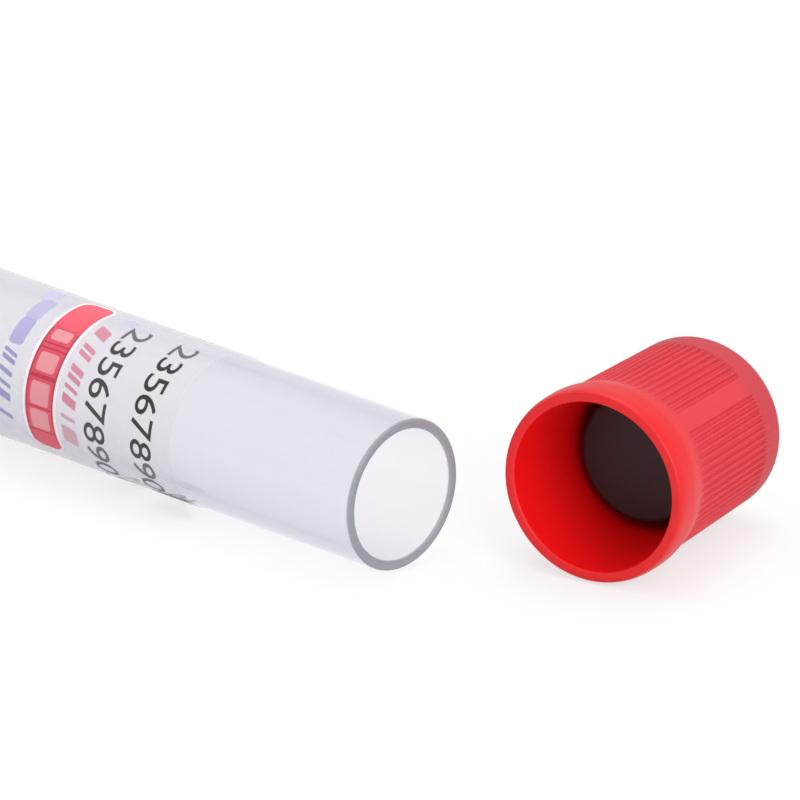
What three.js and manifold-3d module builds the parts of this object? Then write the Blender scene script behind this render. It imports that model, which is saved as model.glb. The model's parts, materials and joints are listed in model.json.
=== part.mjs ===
// Blood collection tube with its push-on cap taken off and lying beside the open mouth.
// Millimetres, +Z up, everything rests on Z = 0. The tube lies along X with its mouth towards +X.
import * as THREE from 'three';
import { mergeVertices } from 'three/addons/utils/BufferGeometryUtils.js';
import Module from 'manifold-3d';

// Tube: one clear moulding, open at the mouth, with a round bottom.
const tubeLength = 100;
const tubeDiameter = 13;
const mouthWall = 0.89;
const bottomWall = 1.05;
const rimRound = 0.32;

// Label: one printed film wrapped round the tube, its ends lapped.
const labelFilm = 0.1;
const labelGlue = 0.02;
const labelStart = 20.4;
const labelLength = 62;
const labelLapWidth = 3.2;
const labelLapAngle = 60;

// Cap: one shell with a flared collar, a tapering grip and a needle hole in its top.
const capLength = 20.15;
const capTopWall = 1.5;
const capWall = 1.32;
const capDraft = 0.43;
const shoulderInset = 2.2;
const shoulderRise = 1.8;
const collarStep = 0.37;
const collarBand = 2.1;
const collarLip = 0.3;
const collarLipDepth = 1.1;
const flareLength = 3;
const mouthLeadIn = 0.66;
const leadInDepth = 8;
const rimChamfer = 0.2;
const needleHole = 5.8;
const needleFlare = 0.6;
const retainingStep = 0.2;

// Grip: panels of fine grooves round the cap, with a smooth flat between neighbours.
const gripPanels = 4;
const groovesPerPanel = 16;
const groovePitchAngle = 4.87;
const grooveWidth = 0.42;
const grooveDepth = 0.3;
const grooveRunOut = 0.35;
const gripFromMouth = 2.9;
const gripFromTop = 3.55;
const gripTurn = 2.6;

// Stopper: one rubber plug with a head, held in the top of the cap.
const headThickness = 3.1;
const plugLength = 6.7;
const plugOverBore = 0.1;
const plugRound = 0.55;
const headRound = 0.3;
const targetDish = 0.9;

// Clearances and places.
const tubeClearance = 0.15;
const headOverTube = 0.05;
const seatGap = 0.3;
const capAhead = 13.16;
const capAside = 8.63;
const capYaw = 105.15;

// Facets round the parts and along the flare.
const tubeSides = 64;
const capSides = 72;
const stopperSides = 48;
const flareSteps = 6;

// Worked out from the sizes above.
const tubeRadius = tubeDiameter / 2;
const mouthBoreRadius = tubeRadius - mouthWall;
const bottomBoreRadius = tubeRadius - bottomWall;
const labelRadius = tubeRadius + labelGlue;
const sleeveRadius = tubeRadius + tubeClearance;
const mouthRadius = sleeveRadius + mouthLeadIn;
const bodyRadius = sleeveRadius + capWall;
const shoulderRadius = bodyRadius - capDraft;
const collarRadius = bodyRadius + collarStep;
const plugRadius = mouthBoreRadius + plugOverBore;
const headRadius = tubeRadius + headOverTube;
const pocketRadius = sleeveRadius + retainingStep;
const pocketTop = capLength - capTopWall;
const headTop = pocketTop - seatGap;
const headFoot = headTop - headThickness;
const plugFace = headFoot - plugLength;
const needleRadius = needleHole / 2;
const radians = THREE.MathUtils.degToRad;

const { Manifold, Mesh } = await (async () => {
  const wasm = await Module();
  wasm.setup();
  return wasm;
})();

// Points on an arc, angles in degrees from +r towards +z. A rise other than the radius makes it oval.
function arc(centreR, centreZ, radius, from, to, steps, rise = radius) {
  return Array.from({ length: steps + 1 }, (unused, i) => {
    const angle = radians(from + ((to - from) * i) / steps);
    return [centreR + radius * Math.cos(angle), centreZ + rise * Math.sin(angle)];
  });
}

// Revolves an outline of [radius, height] points about Z, with flat facets towards X and Y.
function turned(outline, sides) {
  const points = outline.map(([r, z]) => new THREE.Vector2(r, z));
  const geometry = new THREE.LatheGeometry(points, sides, Math.PI / sides);
  return geometry.rotateX(Math.PI / 2);
}

function toSolid(geometry) {
  const bare = geometry.clone();
  bare.deleteAttribute('normal');
  bare.deleteAttribute('uv');
  const merged = mergeVertices(bare, 1e-5);
  return new Manifold(new Mesh({
    numProp: 3,
    vertProperties: new Float32Array(merged.attributes.position.array),
    triVerts: new Uint32Array(merged.index.array),
  }));
}

function toGeometry(solid) {
  const mesh = solid.getMesh();
  const geometry = new THREE.BufferGeometry();
  geometry.setAttribute('position', new THREE.BufferAttribute(mesh.vertProperties, 3));
  geometry.setIndex(new THREE.BufferAttribute(mesh.triVerts, 1));
  geometry.computeVertexNormals();
  return geometry;
}

// Tube, standing on its round bottom with the mouth up at z = tubeLength.
function tubeGeometry() {
  const rim = tubeLength - rimRound;
  return turned([
    ...arc(0, tubeRadius, tubeRadius, -90, 0, 12),
    ...arc(tubeRadius - rimRound, rim, rimRound, 0, 90, 4),
    ...arc(mouthBoreRadius + rimRound, rim, rimRound, 90, 180, 4),
    ...arc(0, tubeRadius, bottomBoreRadius, 0, -90, 10),
  ], tubeSides);
}

// Label sleeve on the tube's own facets, one film thicker where its ends lap.
function labelGeometry() {
  const step = (2 * Math.PI) / tubeSides;
  const lapSteps = Math.max(1, Math.round(labelLapWidth / labelRadius / step));
  const lapFrom = Math.round(radians(labelLapAngle) / step);
  const at = (k, radius) => {
    const angle = (k + 0.5) * step;
    return new THREE.Vector2(radius * Math.cos(angle), radius * Math.sin(angle));
  };
  const outer = [];
  for (let k = lapFrom; k < lapFrom + tubeSides; k += 1) {
    const lapped = k <= lapFrom + lapSteps;
    if (k === lapFrom) outer.push(at(k, labelRadius + labelFilm));
    outer.push(at(k, labelRadius + (lapped ? 2 : 1) * labelFilm));
    if (k === lapFrom + lapSteps) outer.push(at(k, labelRadius + labelFilm));
  }
  const sleeve = new THREE.Shape(outer);
  sleeve.holes.push(new THREE.Path(Array.from({ length: tubeSides }, (unused, k) => at(k, labelRadius))));
  const geometry = new THREE.ExtrudeGeometry(sleeve, { depth: labelLength, bevelEnabled: false });
  return geometry.translate(0, 0, tubeLength - labelStart - labelLength);
}

// Outer radius of the cap at a height above its mouth, from the collar to the shoulder.
function capSkin(z) {
  const flare = THREE.MathUtils.smootherstep(z, collarBand, collarBand + flareLength);
  const taper = THREE.MathUtils.clamp((z - collarBand) / (capLength - shoulderRise - collarBand), 0, 1);
  return collarRadius - collarStep * flare - capDraft * taper;
}

// Cap, standing on its mouth with the closed end up.
function capOutline() {
  const flare = Array.from({ length: flareSteps + 1 }, (unused, i) => {
    const z = collarBand + (flareLength * i) / flareSteps;
    return [capSkin(z), z];
  });
  return [
    [mouthRadius, rimChamfer],
    [mouthRadius + rimChamfer, 0],
    ...arc(collarRadius - collarLip, collarLipDepth, collarLip, -90, 0, 4, collarLipDepth),
    ...flare,
    ...arc(shoulderRadius - shoulderInset, capLength - shoulderRise, shoulderInset, 0, 90, 7, shoulderRise),
    [needleRadius + needleFlare, capLength],
    [needleRadius, capLength - needleFlare],
    [needleRadius, pocketTop],
    [pocketRadius, pocketTop],
    [pocketRadius, headFoot - seatGap],
    [sleeveRadius, headFoot - seatGap - retainingStep],
    [sleeveRadius, leadInDepth],
    [mouthRadius, rimChamfer],
  ];
}

// One groove: a slot that follows the cap's skin and runs out at both ends.
function grooveCutter() {
  const from = gripFromMouth;
  const to = capLength - gripFromTop;
  const clear = collarRadius + 1;
  const floor = [from, from + grooveRunOut, collarBand + flareLength, to - grooveRunOut, to];
  const depthAt = (z) => grooveDepth * Math.min(1, (z - from) / grooveRunOut, (to - z) / grooveRunOut);
  const shape = new THREE.Shape([
    new THREE.Vector2(clear, from),
    ...floor.map((z) => new THREE.Vector2(capSkin(z) - depthAt(z), z)),
    new THREE.Vector2(clear, to),
  ]);
  const slot = new THREE.ExtrudeGeometry(shape, { depth: grooveWidth, bevelEnabled: false });
  return slot.translate(0, 0, -grooveWidth / 2).rotateX(Math.PI / 2);
}

function capGeometry() {
  const groove = grooveCutter();
  let shell = toSolid(turned(capOutline(), capSides));
  for (let panel = 0; panel < gripPanels; panel += 1) {
    for (let i = 0; i < groovesPerPanel; i += 1) {
      const inPanel = (i - (groovesPerPanel - 1) / 2) * groovePitchAngle;
      const turn = radians(gripTurn + (panel * 360) / gripPanels + inPanel);
      shell = shell.subtract(toSolid(groove.clone().rotateZ(turn)));
    }
  }
  return toGeometry(shell);
}

// Stopper in the cap's frame: plug face towards the mouth, head under the top wall.
function stopperGeometry() {
  return turned([
    [0, plugFace],
    ...arc(plugRadius - plugRound, plugFace + plugRound, plugRound, -90, 0, 4),
    [plugRadius, headFoot],
    ...arc(headRadius - headRound, headFoot + headRound, headRound, -90, 0, 2),
    ...arc(headRadius - headRound, headTop - headRound, headRound, 0, 90, 2),
    [needleRadius, headTop],
    [0, headTop - targetDish],
  ], stopperSides);
}

function piece(name, geometry, material) {
  const mesh = new THREE.Mesh(geometry, new THREE.MeshStandardMaterial(material));
  mesh.name = name;
  return mesh;
}

// The cap lies on its collar and its shoulder, so its axis dips towards the closed end.
function restingDip() {
  const outline = capOutline();
  const collar = outline.find(([r]) => r >= collarRadius - 1e-6);
  const slopes = outline
    .filter(([, z]) => z > capLength / 2)
    .map(([r, z]) => (r - collar[0]) / (z - collar[1]));
  return -Math.atan(Math.max(...slopes));
}

function lowest(object) {
  return new THREE.Box3().setFromObject(object, true).min.z;
}

const lyingTube = new THREE.Group();
lyingTube.add(
  piece('tube', tubeGeometry(), {
    color: 0xe3e1ec, roughness: 0.06, metalness: 0, transparent: true, opacity: 0.4,
  }),
  piece('label', labelGeometry(), { color: 0xeceaf1, roughness: 0.45, metalness: 0 }),
);
lyingTube.rotation.y = Math.PI / 2;
lyingTube.position.x = -tubeLength;
lyingTube.position.z = -lowest(lyingTube);

const cap = new THREE.Group();
cap.add(
  piece('cap', capGeometry(), { color: 0xe0353c, roughness: 0.38, metalness: 0 }),
  piece('stopper', stopperGeometry(), { color: 0x35232a, roughness: 0.6, metalness: 0 }),
);
cap.rotation.y = Math.PI / 2 + restingDip();

const lyingCap = new THREE.Group();
lyingCap.add(cap);
lyingCap.rotation.z = radians(capYaw);
lyingCap.position.set(capAhead, capAside, 0);
lyingCap.position.z = -lowest(lyingCap);

// The origin is the middle of the footprint, on the surface.
const part = new THREE.Group();
part.add(lyingTube, lyingCap);
const middle = new THREE.Box3().setFromObject(part, true).getCenter(new THREE.Vector3());
part.position.set(-middle.x, -middle.y, 0);

export default part;
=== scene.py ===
import json
import math

import bmesh
import bpy
from mathutils import Matrix, Vector


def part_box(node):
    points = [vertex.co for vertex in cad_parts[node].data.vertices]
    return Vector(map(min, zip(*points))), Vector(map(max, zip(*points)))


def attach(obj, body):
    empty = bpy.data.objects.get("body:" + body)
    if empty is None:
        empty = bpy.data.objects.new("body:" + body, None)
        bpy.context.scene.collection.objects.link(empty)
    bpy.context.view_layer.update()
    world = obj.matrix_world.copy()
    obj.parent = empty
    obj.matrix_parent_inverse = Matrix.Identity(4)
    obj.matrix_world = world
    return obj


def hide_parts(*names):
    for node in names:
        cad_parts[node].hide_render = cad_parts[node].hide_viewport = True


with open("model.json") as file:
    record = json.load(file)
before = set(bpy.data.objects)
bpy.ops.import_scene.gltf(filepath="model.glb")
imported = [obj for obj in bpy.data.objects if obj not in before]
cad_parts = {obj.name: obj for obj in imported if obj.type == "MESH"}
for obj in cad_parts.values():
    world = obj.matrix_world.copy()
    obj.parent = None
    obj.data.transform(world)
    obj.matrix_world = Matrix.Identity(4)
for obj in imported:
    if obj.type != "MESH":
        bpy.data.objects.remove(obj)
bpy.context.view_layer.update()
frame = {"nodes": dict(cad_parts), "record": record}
mm = 0.001  # the dictionaries give sizes in mm, unless a note says otherwise
sharpAngle = math.radians(40)  # edges that turn by more than this stay crisp
print("frame loaded:", ", ".join(sorted(frame["nodes"])))


def colour(red, green, blue):  # display values, 0 to 255, as linear light
    def linear(v):
        v /= 255
        return v / 12.92 if v <= 0.04045 else ((v + 0.055) / 1.055) ** 2.4
    return (linear(red), linear(green), linear(blue), 1.0)


class Value:  # a node's output that takes part in plain arithmetic
    def __init__(self, finish, socket):
        self.finish = finish
        self.socket = socket

    def combined(self, operation, first, second):
        return self.finish.node("ShaderNodeMath", {"operation": operation}, {0: first, 1: second})

    def __add__(self, other):
        return self.combined("ADD", self, other)

    def __radd__(self, other):
        return self.combined("ADD", other, self)

    def __mul__(self, other):
        return self.combined("MULTIPLY", self, other)

    def __rmul__(self, other):
        return self.combined("MULTIPLY", other, self)

    def atMost(self, other):
        return self.combined("MINIMUM", self, other)


class Finish:  # the nodes of one material, or of the world, with sizes in mm
    def __init__(self, owner):
        self.owner = owner
        owner.use_nodes = True
        self.tree = owner.node_tree
        self.tree.nodes.clear()

    def node(self, kind, settings=None, inputs=None, output=0):
        made = self.tree.nodes.new(kind)
        for key, value in (settings or {}).items():
            setattr(made, key, value)
        for key, value in (inputs or {}).items():
            if isinstance(value, Value):
                self.tree.links.new(value.socket, made.inputs[key])
            else:
                made.inputs[key].default_value = value
        return None if output is None else Value(self, made.outputs[output])

    def place(self):  # the point being shaded, as it lies at rest, so that finishes move with their pieces
        return self.node("ShaderNodeTexCoord", output="Object")

    def alongTube(self):  # the tube lies along x
        return self.node("ShaderNodeSeparateXYZ", None, {0: self.place()})

    def noise(self, size, stretch=(1, 1, 1)):
        spread = self.vector("MULTIPLY", self.place(), stretch)
        return self.node("ShaderNodeTexNoise", None, {"Vector": spread, "Scale": 1 / (size * mm)})

    def vector(self, operation, first, second, output=0):
        return self.node("ShaderNodeVectorMath", {"operation": operation}, {0: first, 1: second}, output)

    def mixed(self, factor, first, second):
        return self.node("ShaderNodeMix", {"data_type": "RGBA"}, {0: factor, 6: first, 7: second}, output=2)

    def ramp(self, value, start, end, low=0.0, high=1.0):  # eased from low to high between two places
        return self.node("ShaderNodeMapRange", {"interpolation_type": "SMOOTHSTEP"}, {
            "Value": value, "From Min": start * mm, "From Max": end * mm, "To Min": low, "To Max": high})

    def bump(self, height, depth):
        return self.node("ShaderNodeBump", None, {"Height": height, "Distance": depth * mm})

    def principled(self, inputs):
        return self.node("ShaderNodeBsdfPrincipled", None, inputs)

    def finished(self, shader, output="ShaderNodeOutputMaterial", inside=None):
        self.node(output, None, {"Surface": shader, **({"Volume": inside} if inside else {})}, output=None)
        return self.owner

    def seenRay(self):  # 1 where the camera looks, straight, mirrored or through clear plastic
        rays = [self.node("ShaderNodeLightPath", output=name)
                for name in ("Is Camera Ray", "Is Glossy Ray", "Is Transmission Ray")]
        return (rays[0] + rays[1] + rays[2]).atMost(1.0)


def newFinish(name):
    return Finish(bpy.data.materials.new(name))


def arc(centreR, centreZ, radius, start, end, steps, rise=None):  # degrees from +r towards +z
    turn = [math.radians(start + (end - start) * i / steps) for i in range(steps + 1)]
    return [(centreR + radius * math.cos(a), centreZ + (rise or radius) * math.sin(a)) for a in turn]


def smooth(v):  # 0 to 1, eased at both ends
    v = min(1, max(0, v))
    return v * v * (3 - 2 * v)


def meshFrom(shape):
    bmesh.ops.recalc_face_normals(shape, faces=shape.faces)
    mesh = bpy.data.meshes.new("shape")
    shape.to_mesh(mesh)
    shape.free()
    mesh.shade_smooth()
    mesh.set_sharp_from_angle(angle=sharpAngle)
    return mesh


def bridged(shape, first, second):  # a band of faces between two rings, either of which may be one point
    for i in range(max(len(first), len(second))):
        j = i + 1
        ends = [ring[k % len(ring)] for ring, k in ((first, i), (first, j), (second, j), (second, i))]
        shape.faces.new(list(dict.fromkeys(ends)))


# Revolves an outline of (radius, along) points in mm. A third value is how deep cut(angle) may cut there.
def turned(outline, angles, place, closed=False, cut=None):
    shape = bmesh.new()
    rings = []
    for radius, along, *depth in outline:
        if radius < 1e-6:  # on the axis
            rings.append([shape.verts.new(place @ Vector((0, 0, along * mm)))])
            continue
        ring = []
        for angle in angles:
            r = radius - (depth[0] * cut(angle) if depth else 0)
            corner = Vector((r * math.cos(angle), r * math.sin(angle), along)) * mm
            ring.append(shape.verts.new(place @ corner))
        rings.append(ring)
    for first, second in zip(rings, rings[1:]):
        bridged(shape, first, second)
    if closed:
        bridged(shape, rings[-1], rings[0])
    return meshFrom(shape)


def evenly(sides):
    return [2 * math.pi * i / sides for i in range(sides)]


def addPiece(name, mesh, material, body, replaces=()):
    mesh.name = name
    mesh.materials.append(material)
    piece = bpy.data.objects.new(name, mesh)
    bpy.context.scene.collection.objects.link(piece)
    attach(piece, body)
    if replaces:
        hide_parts(*replaces)
    return piece


tubeLow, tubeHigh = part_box("tube")
tube = {
    "radius": (tubeHigh.z - tubeLow.z) / 2 / mm,
    "length": (tubeHigh.x - tubeLow.x) / mm,
    "mouthWall": 0.89,
    "bottomWall": 1.05,
    "rimRound": 0.32,
    "sides": 192,
    "ringStep": 4,  # between the rings that keep the long walls evenly shaded
    "ringMargin": 0.12,  # from the ends of a wall to its first and last ring
    "bottomSteps": 32,
    "boreBottomSteps": 28,
    "rimSteps": 8,
    "tint": colour(248, 247, 250),
    "depthTint": (0.9, 0.9, 0.93, 1.0),  # of the light that is left after passing through the wall
    "depthDensity": 355,  # to a metre
    "index": 1.0,  # the thin wall hardly bends what is seen through it
    "gloss": 0.6,
    "glossRoughness": 0.03,
    "roughness": 0.0,
    "flow": 2.5,  # size and depth of the faint waves left by moulding
    "flowStretch": (0.15, 1, 1),
    "flowDepth": 0.004,
    # painted shade: a grey ring standing in for the dark edge that refraction and reflection give the rim
    "paintedEdgeShade": colour(121, 125, 134),
    "grainyEdgeShade": colour(130, 133, 142),
    "rimGrain": 0.1,
    "rimRoughness": 0.4,
    "edgeShadeStart": 0.32,  # back from the rim, where the painted shade begins
    "edgeShadeFull": 0.1,
    "edgeShadeShare": 0.85,
}
tubeAxis = Vector((0, (tubeLow.y + tubeHigh.y) / 2, (tubeLow.z + tubeHigh.z) / 2))
tubePlace = Matrix.Translation((tubeLow.x, tubeAxis.y, tubeAxis.z)) @ Matrix.Rotation(math.pi / 2, 4, "Y")


def clearPlastic():  # polished all over, with a grey shade painted on the rim
    finish = newFinish("clearPlastic")
    flow = finish.noise(tube["flow"], stretch=tube["flowStretch"])
    clear = finish.principled({
        "Base Color": tube["tint"],
        "Roughness": tube["roughness"],
        "IOR": tube["index"],
        "Transmission Weight": 1.0,
        "Coat Weight": tube["gloss"],
        "Coat Roughness": tube["glossRoughness"],
        "Normal": finish.bump(flow, tube["flowDepth"]),
    })
    # the painted shade on the rim, a grey surface mixed in near the mouth
    grain = finish.noise(tube["rimGrain"])
    edgeShadePaint = finish.principled({
        "Base Color": finish.mixed(grain, tube["paintedEdgeShade"], tube["grainyEdgeShade"]),
        "Roughness": tube["rimRoughness"] + 0.1 * grain,
    })
    mouth = tubeHigh.x / mm
    rim = finish.ramp(finish.alongTube(), mouth - tube["edgeShadeStart"], mouth - tube["edgeShadeFull"],
                      high=tube["edgeShadeShare"])
    skin = finish.node("ShaderNodeMixShader", None, {0: rim, 1: clear, 2: edgeShadePaint})
    inside = finish.node("ShaderNodeVolumeAbsorption", None, {
        "Color": tube["depthTint"], "Density": tube["depthDensity"]})
    return finish.finished(skin, inside=inside)


def straightWall(first, last):  # (radius, along) points between two, the end ones close in
    length = abs(last[1] - first[1])
    count = round(length / tube["ringStep"])
    margin = tube["ringMargin"] / length
    shares = [margin, *[i / count for i in range(1, count)], 1 - margin]
    return [(first[0] + (last[0] - first[0]) * t, first[1] + (last[1] - first[1]) * t) for t in shares]


def makeTube():
    radius, rim, lip = tube["radius"], tube["length"] - tube["rimRound"], tube["rimRound"]
    mouthBore, bottomBore = radius - tube["mouthWall"], radius - tube["bottomWall"]
    outline = [
        *arc(0, radius, radius, -90, 0, tube["bottomSteps"]),
        *straightWall((radius, radius), (radius, rim)),
        *arc(radius - lip, rim, lip, 0, 90, tube["rimSteps"]),
        *arc(mouthBore + lip, rim, lip, 90, 180, tube["rimSteps"]),
        *straightWall((mouthBore, rim), (bottomBore, radius)),
        *arc(0, radius, bottomBore, 0, -90, tube["boreBottomSteps"]),
    ]
    mesh = turned(outline, evenly(tube["sides"]), tubePlace)
    addPiece("clear_tube", mesh, clearPlastic(), "tube_body", ["tube"])


makeTube()
print("tube made")

labelLow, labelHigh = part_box("label")
label = {
    "radius": (labelHigh.z - labelLow.z) / 2 / mm - 0.03,  # outside of the film, with room for the ink
    "film": 0.08,
    "start": labelHigh.x / mm,
    "end": labelLow.x / mm,
    "seam": 245,  # degrees round from the top, past the near side
    "lap": 27,  # degrees
    "lapRise": 8,  # degrees over which the film climbs onto its own start
    "lapGap": 0.003,
    "step": 2,  # degrees
    "paper": colour(222, 219, 221),
    "shade": colour(218, 215, 217),
    "clouds": 4,
    "clouding": 0.2,  # how much the milky coat varies
    "cover": 0.34,  # how much the milky coat hides
    "edgeCover": 0.28,  # and how much at its edge towards the mouth
    "milkyFrom": 6,  # mm from that edge
    "coatStart": -55,  # degrees from the top; past its end the film is a clear window
    "coatEnd": 175,
    "coatFade": 20,
    "fibre": 0.12,
    "fibreDepth": 0.004,
    "roughness": 0.38,
}


def roundTube(turn, radius, x):  # a point at some degrees from the top towards the near side
    a = math.radians(turn)
    return Vector((x * mm, tubeAxis.y - radius * mm * math.sin(a), tubeAxis.z + radius * mm * math.cos(a)))


def coatShare(turn):  # 1 where the film is milky, 0 where it is clear, at some degrees from the top
    past = (turn - label["coatStart"]) % 360
    left = label["coatEnd"] - label["coatStart"] - past
    return smooth(past / label["coatFade"]) * smooth(left / label["coatFade"])


def labelFilm():  # clear film with a milky coat on its outside
    finish = newFinish("labelFilm")
    fibre = finish.noise(label["fibre"])
    cloud = finish.noise(label["clouds"])
    edge = label["start"]
    cover = finish.ramp(finish.alongTube(), edge - label["milkyFrom"], edge,
                        label["cover"], label["edgeCover"])
    coat = finish.node("ShaderNodeAttribute", {"attribute_name": "coat"}, output=2)
    return finish.finished(finish.principled({
        "Base Color": finish.mixed(cloud, label["paper"], label["shade"]),
        "Roughness": label["roughness"] + 0.12 * fibre,
        "Alpha": coat * cover * (1 - label["clouding"] / 2 + label["clouding"] * cloud),
        "Coat Weight": 0.2,
        "Coat Roughness": 0.2,
        "Normal": finish.bump(fibre, label["fibreDepth"]),
    }))


def makeLabel():
    shape = bmesh.new()
    coat = shape.verts.layers.float.new("coat")  # none on the inside of the film
    sections = []
    for turn in range(0, 360 + label["lap"] + 1, label["step"]):
        climb = smooth((turn - 360 + label["lapRise"]) / label["lapRise"])
        outer = label["radius"] + (label["film"] + label["lapGap"]) * climb
        inner = outer - label["film"]
        corners = ((outer, label["start"]), (outer, label["end"]),
                   (inner, label["end"]), (inner, label["start"]))
        section = [shape.verts.new(roundTube(label["seam"] + turn, r, x)) for r, x in corners]
        for corner in section[:2]:
            corner[coat] = coatShare(label["seam"] + turn)
        sections.append(section)
    for first, second in zip(sections, sections[1:]):
        bridged(shape, first, second)
    shape.faces.new(sections[0])
    shape.faces.new(sections[-1])
    addPiece("wrapped_label", meshFrom(shape), labelFilm(), "tube_body", ["label"])


makeLabel()
print("label made")

ink = {
    "lift": 0.004,  # mm from the film to the lowest ink, and from one layer to the next
    "depth": 0.012,
    "slice": 2.5,  # degrees between the folds that bend a flat shape round the tube
    "speckle": 0.09,
    "roughness": 0.45,
    "numbers": "2356789035",
    "numberRows": (("near_numbers", 23.75), ("far_numbers", 29.1)),  # mm from the rim to their middles
    "clearNumbers": (1, 6),  # from the second to the sixth; the others of a row are faint
    "firstNumber": 11.5,  # degrees from the top
    "numberPitch": 17,
    "numberHeight": 2.4,
    "numberWidth": 1.72,
    "plainWidth": 1.45,  # of the lettering as it comes, at that height
    "boldness": 0.002,
    "curveSteps": 6,
    "cornerSteps": 5,
    # A field goes from and to some degrees from the top, and from and to some mm from the rim.
    # Its corner radius comes next, then its lean. Fields in one row share all but their degrees.
    "bandEdge": (-13, 130, 33.55, 37.35, 1.15),
    "band": (-11, 128, 33.85, 37.05, 1),
    "bandTop": (-10, 28, 33.95, 36.95, 0.9),
    "bandSides": ((30, 124, 33.87, 34.05, 0.05), (30, 124, 36.85, 37.03, 0.05)),
    "bandRules": ((42, 43.4), (46, 47.4), (66.5, 69.5), (90.6, 91.8), (110.2, 111.4)),
    "bandRuleRow": (34, 36.9, 0.05),
    "bandBlocks": ((30, 39.5), (50, 64.5), (72, 89.5), (93, 109)),
    "bandBlockRow": (34.4, 36.5, 0.3),
    "dashes": ((16, 26), (35, 39), (41, 45), (53, 58), (60, 64), (68, 71), (75, 82)),
    "dashRow": (31.3, 32.9, 0.12, 0.35),
    "faintDashes": ((90, 93), (99, 113)),
    "faintDashRow": (31.3, 32.9, 0.12, 0.2),
    "violetSmudges": ((-12, 7, 39.7, 41.1, 0.5, 0.25), (-6, 1, 30.6, 32, 0.3)),
    "paleVioletBar": (6, 30, 38.8, 40.4, 0.5),
    "violetBar": (29, 52, 38.8, 40.4, 0.4),
    "violetMarks": ((57, 60), (62, 65.5), (71, 74.5), (80, 83), (87, 93), (104, 108)),
    "violetRow": (38.8, 40.4, 0.12, 0.3),
    # painted shadow: a dark patch at the tube's lower edge
    "underShadowPatch": (140, 154, 20.6, 24.3, 0.5),
    "colours": {
        "near_numbers": colour(28, 27, 33),
        "far_numbers": colour(50, 49, 56),
        "greyInk": colour(88, 87, 97),
        "paleInk": colour(246, 224, 228),
        "redInk": colour(208, 66, 88),
        "brightRedInk": colour(252, 78, 96),
        "deepRedInk": colour(176, 36, 60),
        "paleRedInk": colour(218, 138, 145),
        "pinkInk": colour(198, 126, 145),
        "palePinkInk": colour(196, 156, 165),
        "faintVioletInk": colour(188, 185, 214),
        "paleVioletInk": colour(175, 170, 203),
        "lightVioletInk": colour(165, 161, 203),
        "violetInk": colour(144, 142, 184),
        # the grey of the painted shadow
        "paintedShadowGrey": colour(74, 68, 70),
    },
}


def inkFinish(name):
    finish = newFinish(name)
    tone = ink["colours"][name]
    worn = tuple(min(1, v * 1.25 + 0.01) for v in tone[:3]) + (1.0,)
    return finish.finished(finish.principled({
        "Base Color": finish.mixed(finish.noise(ink["speckle"]), tone, worn),
        "Roughness": ink["roughness"],
        "Coat Weight": 0.05,
        "Coat Roughness": 0.3,
    }))


def flatNumber(character):  # mm, centred, its top towards +y
    curve = bpy.data.curves.new("number", "FONT")
    curve.body = character
    curve.resolution_u = ink["curveSteps"]
    curve.offset = ink["boldness"]
    holder = bpy.data.objects.new("number", curve)
    bpy.context.scene.collection.objects.link(holder)
    bpy.context.view_layer.update()
    mesh = bpy.data.meshes.new_from_object(holder.evaluated_get(bpy.context.evaluated_depsgraph_get()))
    bpy.data.objects.remove(holder)
    bpy.data.curves.remove(curve)
    flat = bmesh.new()
    flat.from_mesh(mesh)
    bpy.data.meshes.remove(mesh)
    xs, ys = [v.co.x for v in flat.verts], [v.co.y for v in flat.verts]
    scale = ink["numberHeight"] / (max(ys) - min(ys))
    middle = Vector(((max(xs) + min(xs)) / 2, (max(ys) + min(ys)) / 2, 0))
    for v in flat.verts:
        v.co = (v.co - middle) * scale
        v.co.x *= ink["numberWidth"] / ink["plainWidth"]
    return flat


def flatPatch(width, height, corner, lean):  # a rounded rectangle, mm, width runs round the tube
    flat = bmesh.new()
    corner = min(corner, width / 2 - 0.01, height / 2 - 0.01)  # leaves a bit of each side straight
    outline = []
    for sx, sy, start in ((1, 1, 0), (-1, 1, 90), (-1, -1, 180), (1, -1, 270)):
        centre = (sx * (width / 2 - corner), sy * (height / 2 - corner))
        outline += arc(*centre, corner, start, start + 90, ink["cornerSteps"])
    flat.faces.new([flat.verts.new((x + lean * y, y, 0)) for x, y in outline])
    return flat


def printed(name, marks, material, layer=0):  # marks: flat shape, degrees from the top, mm from the rim
    shape = bmesh.new()
    radius = label["radius"] + ink["lift"] * (layer + 1)
    fold = math.radians(ink["slice"]) * radius
    for flat, turn, fromRim in marks:
        reach = max(abs(v.co.x) for v in flat.verts)
        for k in range(-int(reach / fold), int(reach / fold) + 1):
            bmesh.ops.bisect_plane(flat, geom=[*flat.verts, *flat.edges, *flat.faces],
                                   plane_co=(k * fold, 0, 0), plane_no=(1, 0, 0), dist=1e-5)
        made = {}
        for v in flat.verts:
            around = turn + math.degrees(v.co.x / radius)
            x = tubeLow.x / mm + tube["length"] - fromRim + v.co.y
            made[v] = [shape.verts.new(roundTube(around, r, x)) for r in (radius, radius - ink["depth"])]
        for face in flat.faces:
            shape.faces.new([made[v][0] for v in face.verts])
            shape.faces.new([made[v][1] for v in reversed(face.verts)])
        for edge in flat.edges:
            if len(edge.link_faces) == 1:
                a, b = edge.verts
                shape.faces.new([made[a][0], made[b][0], made[b][1], made[a][1]])
        flat.free()
    addPiece(name, meshFrom(shape), material, "tube_body")


def field(fromTurn, toTurn, fromRim, toRim, corner, lean=0.0):  # one mark for the function above
    width = math.radians(toTurn - fromTurn) * label["radius"]
    return (flatPatch(width, toRim - fromRim, corner, lean), (fromTurn + toTurn) / 2, (fromRim + toRim) / 2)


def fieldRow(turns, row):
    return [field(*turn, *row) for turn in turns]


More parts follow.
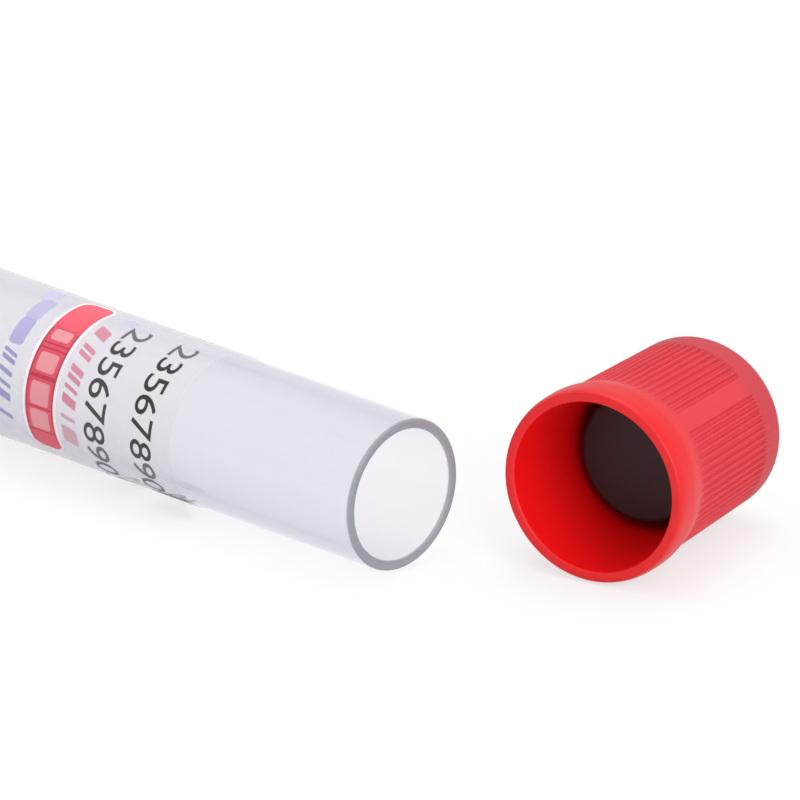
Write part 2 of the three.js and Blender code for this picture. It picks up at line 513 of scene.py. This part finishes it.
def printNumbers():  # the ends of both rows are fainter
    first, last = ink["clearNumbers"]
    faint = []
    for name, fromRim in ink["numberRows"]:
        row = [(flatNumber(character), ink["firstNumber"] + i * ink["numberPitch"], fromRim)
               for i, character in enumerate(ink["numbers"])]
        printed(name, row[first:last], inkFinish(name))
        faint += row[:first] + row[last:]
    printed("faint_numbers", faint, inkFinish("greyInk"))


def printBand():
    printed("band_edge", [field(*ink["bandEdge"])], inkFinish("paleInk"))
    printed("band", [field(*ink["band"])], inkFinish("redInk"), 1)
    printed("band_top", [field(*ink["bandTop"])], inkFinish("brightRedInk"), 2)
    rules = [field(*side) for side in ink["bandSides"]] + fieldRow(ink["bandRules"], ink["bandRuleRow"])
    printed("band_rules", rules, inkFinish("deepRedInk"), 2)
    printed("band_blocks", fieldRow(ink["bandBlocks"], ink["bandBlockRow"]), inkFinish("paleRedInk"), 2)


def printDashes():
    printed("pink_dashes", fieldRow(ink["dashes"], ink["dashRow"]), inkFinish("pinkInk"))
    printed("faint_dashes", fieldRow(ink["faintDashes"], ink["faintDashRow"]), inkFinish("palePinkInk"))


def printViolet():
    smudges = [field(*smudge) for smudge in ink["violetSmudges"]]
    printed("faint_violet_marks", smudges, inkFinish("faintVioletInk"))
    printed("pale_violet_bar", [field(*ink["paleVioletBar"])], inkFinish("paleVioletInk"))
    printed("violet_bar", [field(*ink["violetBar"])], inkFinish("lightVioletInk"))
    printed("violet_marks", fieldRow(ink["violetMarks"], ink["violetRow"]), inkFinish("violetInk"))


def paintUnderShadow():  # painted shadow: a dark patch low on the near side, beyond the numbers, at the tube's lower edge
    printed("painted_under_shadow", [field(*ink["underShadowPatch"])], inkFinish("paintedShadowGrey"))


printNumbers()
printBand()
printDashes()
printViolet()
paintUnderShadow()
print("print made")

capTop, capAxis = next((Vector(m["pos_m"]), Vector(m["axis"])) for m in frame["record"]["mounts"]
                       if m["name"] == "cap_top")
cap = {
    "length": 20.15,
    "topMountOut": 4.4,  # mm from the axis to the stated point on the top
    "mouthRadius": 7.31,
    "sleeveRadius": 6.65,
    "leadInDepth": 8,
    "rimChamfer": 0.2,
    "bodyRadius": 7.97,
    "draft": 0.43,
    "collarStep": 0.37,
    "collarBand": 2.1,
    "flare": 3,
    "lip": 0.3,
    "lipDepth": 1.1,
    "shoulderInset": 2.2,
    "shoulderRise": 1.8,
    "topWall": 1.5,
    "needleRadius": 2.9,
    "needleFlare": 0.6,
    "pocketRadius": 6.85,
    "pocketFoot": 14.95,
    "retainingStep": 0.2,
    "panels": 4,
    "grooves": 16,
    "pitch": 4.87,  # degrees
    "grooveDepth": 0.25,
    "grooveFloor": 0.16,  # half the floor and half the mouth of a groove, as shares of the pitch
    "grooveMouth": 0.4,
    "gripStart": 3.1,
    "runIn": 3.0,  # over which the grooves deepen from the flare
    "gripEnd": 16.6,
    "runOut": 0.35,
    "gripTurn": 2.6,  # degrees
    "grooveSteps": 10,  # round one groove
    "flatSteps": 6,  # round one smooth flat
    "chamferSteps": 4,
    "lipSteps": 10,
    "flareSteps": 16,
    "bodySteps": 6,
    "runOutSteps": 6,
    "shoulderSteps": 18,
    "needleSteps": 6,
    "shrink": 0.996,  # keeps the round shell within the faceted one
    "endInset": 0.01,  # does the same for its closed end
    "red": colour(238, 13, 18),
    "redShade": colour(229, 12, 18),
    # painted shade: a darker copy of the red for the lip and collar
    "collarShadeRed": colour(218, 20, 27),
    # painted sheen: a paler, pinker red standing in for the white haze that light leaves on the textured
    # outside
    "gripSheenRed": colour(211, 50, 61),
    # painted shade: a duller red darkening the shoulder, which light reaches less
    "shoulderShadeRed": colour(191, 54, 64),
    "clouds": 3,
    "grain": 0.14,
    "grainDepth": 0.012,
    "roughness": 0.38,
    "gripRoughness": 0.12,  # what the grip adds
    "specular": 0.4,
    "lipWidth": 0.2,
    "outside": (0.5, 0.7),  # out from the sleeve, where the glossy inside gives way to the outside
    "endWall": (1.2, 0.8),  # the same, back from the closed end
    "texturedFrom": 0.8,  # up from both ends of the flare
    "shoulderShadeStart": 2.5,  # before the end of the grooves, where the painted shade on the shoulder begins
    "shoulderShadeFull": 1,  # past it, where that painted shade is full
}
acrossCap = Vector((0, 0, 1)).cross(capAxis).normalized()
underCap = acrossCap.cross(capAxis).normalized()
capFoot = capTop - acrossCap * cap["topMountOut"] * mm - capAxis * cap["length"] * mm
capPlace = Matrix.Translation(capFoot) @ Matrix((underCap, acrossCap, capAxis)).transposed().to_4x4()


def capSkin(z):  # outer radius at a height above the mouth
    flare = smooth((z - cap["collarBand"]) / cap["flare"])
    bodyLength = cap["length"] - cap["shoulderRise"] - cap["collarBand"]
    taper = min(1, max(0, (z - cap["collarBand"]) / bodyLength))
    return cap["bodyRadius"] + cap["collarStep"] * (1 - flare) - cap["draft"] * taper


def grooveAngles():  # finely spaced over the grooves, coarsely over the smooth flats
    angles = []
    for panel in range(cap["panels"]):
        start = cap["gripTurn"] + panel * 360 / cap["panels"] - cap["grooves"] / 2 * cap["pitch"]
        steps = cap["grooveSteps"]
        angles += [start + cap["pitch"] * k / steps for k in range(cap["grooves"] * steps)]
        start += cap["pitch"] * cap["grooves"]
        flat, steps = 360 / cap["panels"] - cap["grooves"] * cap["pitch"], cap["flatSteps"]
        angles += [start + flat * k / steps for k in range(steps)]
    return [math.radians(a) for a in angles]


def grooveCut(angle):  # 1 on a groove's floor, 0 on a rib or a flat
    panelWidth = 360 / cap["panels"]
    turn = (math.degrees(angle) - cap["gripTurn"] + panelWidth / 2) % panelWidth - panelWidth / 2
    step = turn / cap["pitch"] + cap["grooves"] / 2
    if step < 0 or step > cap["grooves"]:
        return 0
    return smooth((cap["grooveMouth"] - abs(step % 1 - 0.5)) / (cap["grooveMouth"] - cap["grooveFloor"]))


def gripHeights():  # up the flare, up the body, and closely spaced where the grooves run out
    flareEnd, runOut = cap["collarBand"] + cap["flare"], cap["gripEnd"] - cap["runOut"]
    heights = [cap["collarBand"]]
    for start, end, steps in ((cap["collarBand"], flareEnd, cap["flareSteps"]),
                              (flareEnd, runOut, cap["bodySteps"]),
                              (runOut, cap["gripEnd"], cap["runOutSteps"])):
        heights += [start + (end - start) * i / steps for i in range(1, steps + 1)]
    return heights


def grooveDepth(z):
    deepening = smooth((z - cap["gripStart"]) / cap["runIn"])
    return cap["grooveDepth"] * deepening * smooth((cap["gripEnd"] - z) / cap["runOut"])


def makeCap():
    top, shoulder = cap["length"] - cap["endInset"], capSkin(cap["length"]) - cap["shoulderInset"]
    chamfer, needleFlare = cap["rimChamfer"], cap["needleFlare"]
    outline = [
        (cap["mouthRadius"], chamfer),
        *arc(cap["mouthRadius"] + chamfer, chamfer, chamfer, 180, 270, cap["chamferSteps"])[1:],
        *arc(capSkin(0) - cap["lip"], cap["lipDepth"], cap["lip"], -90, 0, cap["lipSteps"], cap["lipDepth"]),
        *[(capSkin(z), z, grooveDepth(z)) for z in gripHeights()],
        *arc(shoulder, top - cap["shoulderRise"], cap["shoulderInset"], 0, 90, cap["shoulderSteps"],
             cap["shoulderRise"]),
        *arc(cap["needleRadius"] + needleFlare, top - needleFlare, needleFlare, 90, 180, cap["needleSteps"]),
        (cap["needleRadius"], top - cap["topWall"]),
        (cap["pocketRadius"], top - cap["topWall"]),
        (cap["pocketRadius"], cap["pocketFoot"]),
        (cap["sleeveRadius"], cap["pocketFoot"] - cap["retainingStep"]),
        (cap["sleeveRadius"], cap["leadInDepth"]),
    ]
    outline = [(r * cap["shrink"], *rest) for r, *rest in outline]
    mesh = turned(outline, grooveAngles(), capPlace, closed=True, cut=grooveCut)
    addPiece("red_cap", mesh, redPlastic(), "cap_body", ["cap"])


def redPlastic():  # glossy inside and on the collar, with painted shade on the lip and collar; softly textured over the rest, with a paler painted sheen there and painted shade towards the shoulder
    finish = newFinish("redPlastic")
    grain = finish.noise(cap["grain"])
    cloud = finish.noise(cap["clouds"])
    fromFoot = finish.vector("SUBTRACT", finish.place(), capFoot)
    along = finish.vector("DOT_PRODUCT", fromFoot, capAxis, output=1)
    across = finish.vector("CROSS_PRODUCT", fromFoot, capAxis)
    radius = finish.vector("LENGTH", across, across, output=1)
    side = finish.ramp(radius, *[cap["sleeveRadius"] + out for out in cap["outside"]])
    end = finish.ramp(along, *[cap["length"] - back for back in cap["endWall"]])
    textured = cap["collarBand"] + cap["texturedFrom"]
    grip = (side + end).atMost(1.0) * finish.ramp(along, textured, textured + cap["flare"])
    # painted shade: the lip and collar take the darker red
    lip = finish.ramp(radius, cap["mouthRadius"], cap["mouthRadius"] + cap["lipWidth"])
    # painted shade, darker towards the shoulder
    shoulderShade = finish.ramp(along, cap["gripEnd"] - cap["shoulderShadeStart"], cap["gripEnd"] + cap["shoulderShadeFull"])
    inside = finish.mixed(cloud, cap["red"], cap["redShade"])
    smoothRed = finish.mixed(lip, inside, cap["collarShadeRed"])
    # painted sheen on the textured outside, turning to painted shade at the shoulder
    sheenAndShadeRed = finish.mixed(shoulderShade, cap["gripSheenRed"], cap["shoulderShadeRed"])
    return finish.finished(finish.principled({
        "Base Color": finish.mixed(grip, smoothRed, sheenAndShadeRed),
        "Roughness": cap["roughness"] + 0.1 * grain + cap["gripRoughness"] * grip,
        "Specular IOR Level": cap["specular"],
        "Normal": finish.bump(grain, cap["grainDepth"]),
    }))


makeCap()
print("cap made")

stopper = {
    "face": 8.55,
    "plugRadius": 5.71,
    "plugRound": 0.55,
    "headFoot": 15.25,
    "headRadius": 6.55,
    "headTop": 18.35,
    "headRound": 0.3,
    "dishRadius": 2.9,
    "dish": 0.9,
    "sides": 128,
    "plugSteps": 8,
    "headSteps": 5,
    "shrink": 0.997,
    "rubber": colour(34, 20, 24),
    "bloom": colour(41, 25, 29),
    "blooms": 2.2,
    "grain": 0.1,
    "grainDepth": 0.01,
    "roughness": 0.5,
}


def darkRubber():
    finish = newFinish("darkRubber")
    grain = finish.noise(stopper["grain"])
    bloom = finish.noise(stopper["blooms"])
    return finish.finished(finish.principled({
        "Base Color": finish.mixed(bloom, stopper["rubber"], stopper["bloom"]),
        "Roughness": stopper["roughness"] + 0.2 * grain,
        "Normal": finish.bump(grain, stopper["grainDepth"]),
    }))


def makeStopper():
    s = stopper
    plug, head = s["plugRadius"] - s["plugRound"], s["headRadius"] - s["headRound"]
    outline = [
        (0, s["face"]),
        *arc(plug, s["face"] + s["plugRound"], s["plugRound"], -90, 0, s["plugSteps"]),
        (s["plugRadius"], s["headFoot"]),
        *arc(head, s["headFoot"] + s["headRound"], s["headRound"], -90, 0, s["headSteps"]),
        *arc(head, s["headTop"] - s["headRound"], s["headRound"], 0, 90, s["headSteps"]),
        (s["dishRadius"], s["headTop"]),
        (0, s["headTop"] - s["dish"]),
    ]
    outline = [(r * s["shrink"], z) for r, z in outline]
    addPiece("rubber_stopper", turned(outline, evenly(s["sides"]), capPlace), darkRubber(),
             "cap_body", ["stopper"])


makeStopper()
print("stopper made")

studio = {  # sizes in metres
    "floorSize": 8.0,
    "floorTone": 0.7,  # as the object sees it
    "floorWhite": 0.97,  # as the camera sees it
    "shadowShare": 0.3,  # of that brightness, the part that light and shadow make
    "skyTone": 0.8,
    "softboxSize": 0.5,
    "softboxDistance": 0.7,
    "softboxes": (("frontLight", 74, 24, 2.2), ("topLight", 200, 78, 1.4)),  # azimuth, elevation, watts
    "bounces": 32,  # enough for the clear walls and the film
    "clearBounces": 24,
    "softBounces": 12,
}


def makeFloor():
    mesh = bpy.data.meshes.new("floor")
    half = studio["floorSize"] / 2
    corners = [(-half, -half, 0), (half, -half, 0), (half, half, 0), (-half, half, 0)]
    mesh.from_pydata(corners, [], [(0, 1, 2, 3)])
    finish = newFinish("paleFloor")
    tone, share = studio["floorTone"], studio["shadowShare"]
    plain = finish.node("ShaderNodeBsdfDiffuse", None, {"Color": (tone, tone, tone, 1)})
    shaded = finish.node("ShaderNodeBsdfDiffuse", None, {"Color": (share, share, share, 1)})
    glow = finish.node("ShaderNodeEmission", None, {"Strength": studio["floorWhite"] - share})
    white = finish.node("ShaderNodeAddShader", None, {0: shaded, 1: glow})
    floorSurface = finish.node("ShaderNodeMixShader", None, {0: finish.seenRay(), 1: plain, 2: white})
    mesh.materials.append(finish.finished(floorSurface))
    floor = bpy.data.objects.new("floor", mesh)
    bpy.context.scene.collection.objects.link(floor)


def makeSky():
    world = bpy.data.worlds.new("studio")
    bpy.context.scene.world = world
    finish = Finish(world)
    tone = studio["skyTone"]
    sky = finish.node("ShaderNodeBackground", None, {"Color": (tone, tone, tone, 1)})
    finish.finished(sky, "ShaderNodeOutputWorld")


def makeSoftbox(name, azimuth, elevation, power):
    a, e = math.radians(azimuth), math.radians(elevation)
    out = Vector((math.sin(a) * math.cos(e), -math.cos(a) * math.cos(e), math.sin(e)))
    lamp = bpy.data.lights.new(name, "AREA")
    lamp.shape = "DISK"
    lamp.size = studio["softboxSize"]
    lamp.energy = power
    holder = bpy.data.objects.new(name, lamp)
    holder.location = out * studio["softboxDistance"]
    holder.rotation_mode = "QUATERNION"
    holder.rotation_quaternion = (-out).to_track_quat("-Z", "Y")
    bpy.context.scene.collection.objects.link(holder)


view = {  # degrees, then metres
    "azimuth": 43.7,
    "elevation": 21.7,
    "distance": 1.8,
    "frameWidth": 0.0656,
    "aimAboveMouth": 0.0078,
    "aimLeftOfMouth": 0.00026,
    "reach": 20,
    "sensor": 36,  # mm
}


def makeCamera():
    a, e = math.radians(view["azimuth"]), math.radians(view["elevation"])
    away = Vector((-math.sin(a), math.cos(a), 0))
    look = away * math.cos(e) - Vector((0, 0, math.sin(e)))
    upward = away * math.sin(e) + Vector((0, 0, math.cos(e)))
    mouth = Vector((tubeHigh.x, tubeAxis.y, tubeAxis.z)) - look.cross(upward) * view["aimLeftOfMouth"]
    lens = bpy.data.cameras.new("camera")
    lens.sensor_width = view["sensor"]
    lens.lens = view["sensor"] * view["distance"] / view["frameWidth"]
    lens.clip_end = view["reach"]
    holder = bpy.data.objects.new("camera", lens)
    holder.location = mouth + upward * view["aimAboveMouth"] - look * view["distance"]
    holder.rotation_mode = "QUATERNION"
    holder.rotation_quaternion = look.to_track_quat("-Z", "Y")
    bpy.context.scene.collection.objects.link(holder)
    bpy.context.scene.camera = holder


makeFloor()
makeSky()
for softbox in studio["softboxes"]:
    makeSoftbox(*softbox)
makeCamera()
bpy.context.scene.view_settings.view_transform = "Standard"
cycles = bpy.context.scene.cycles
cycles.max_bounces = cycles.transparent_max_bounces = studio["bounces"]
cycles.transmission_bounces = studio["clearBounces"]
cycles.diffuse_bounces = cycles.glossy_bounces = studio["softBounces"]
print("studio made")
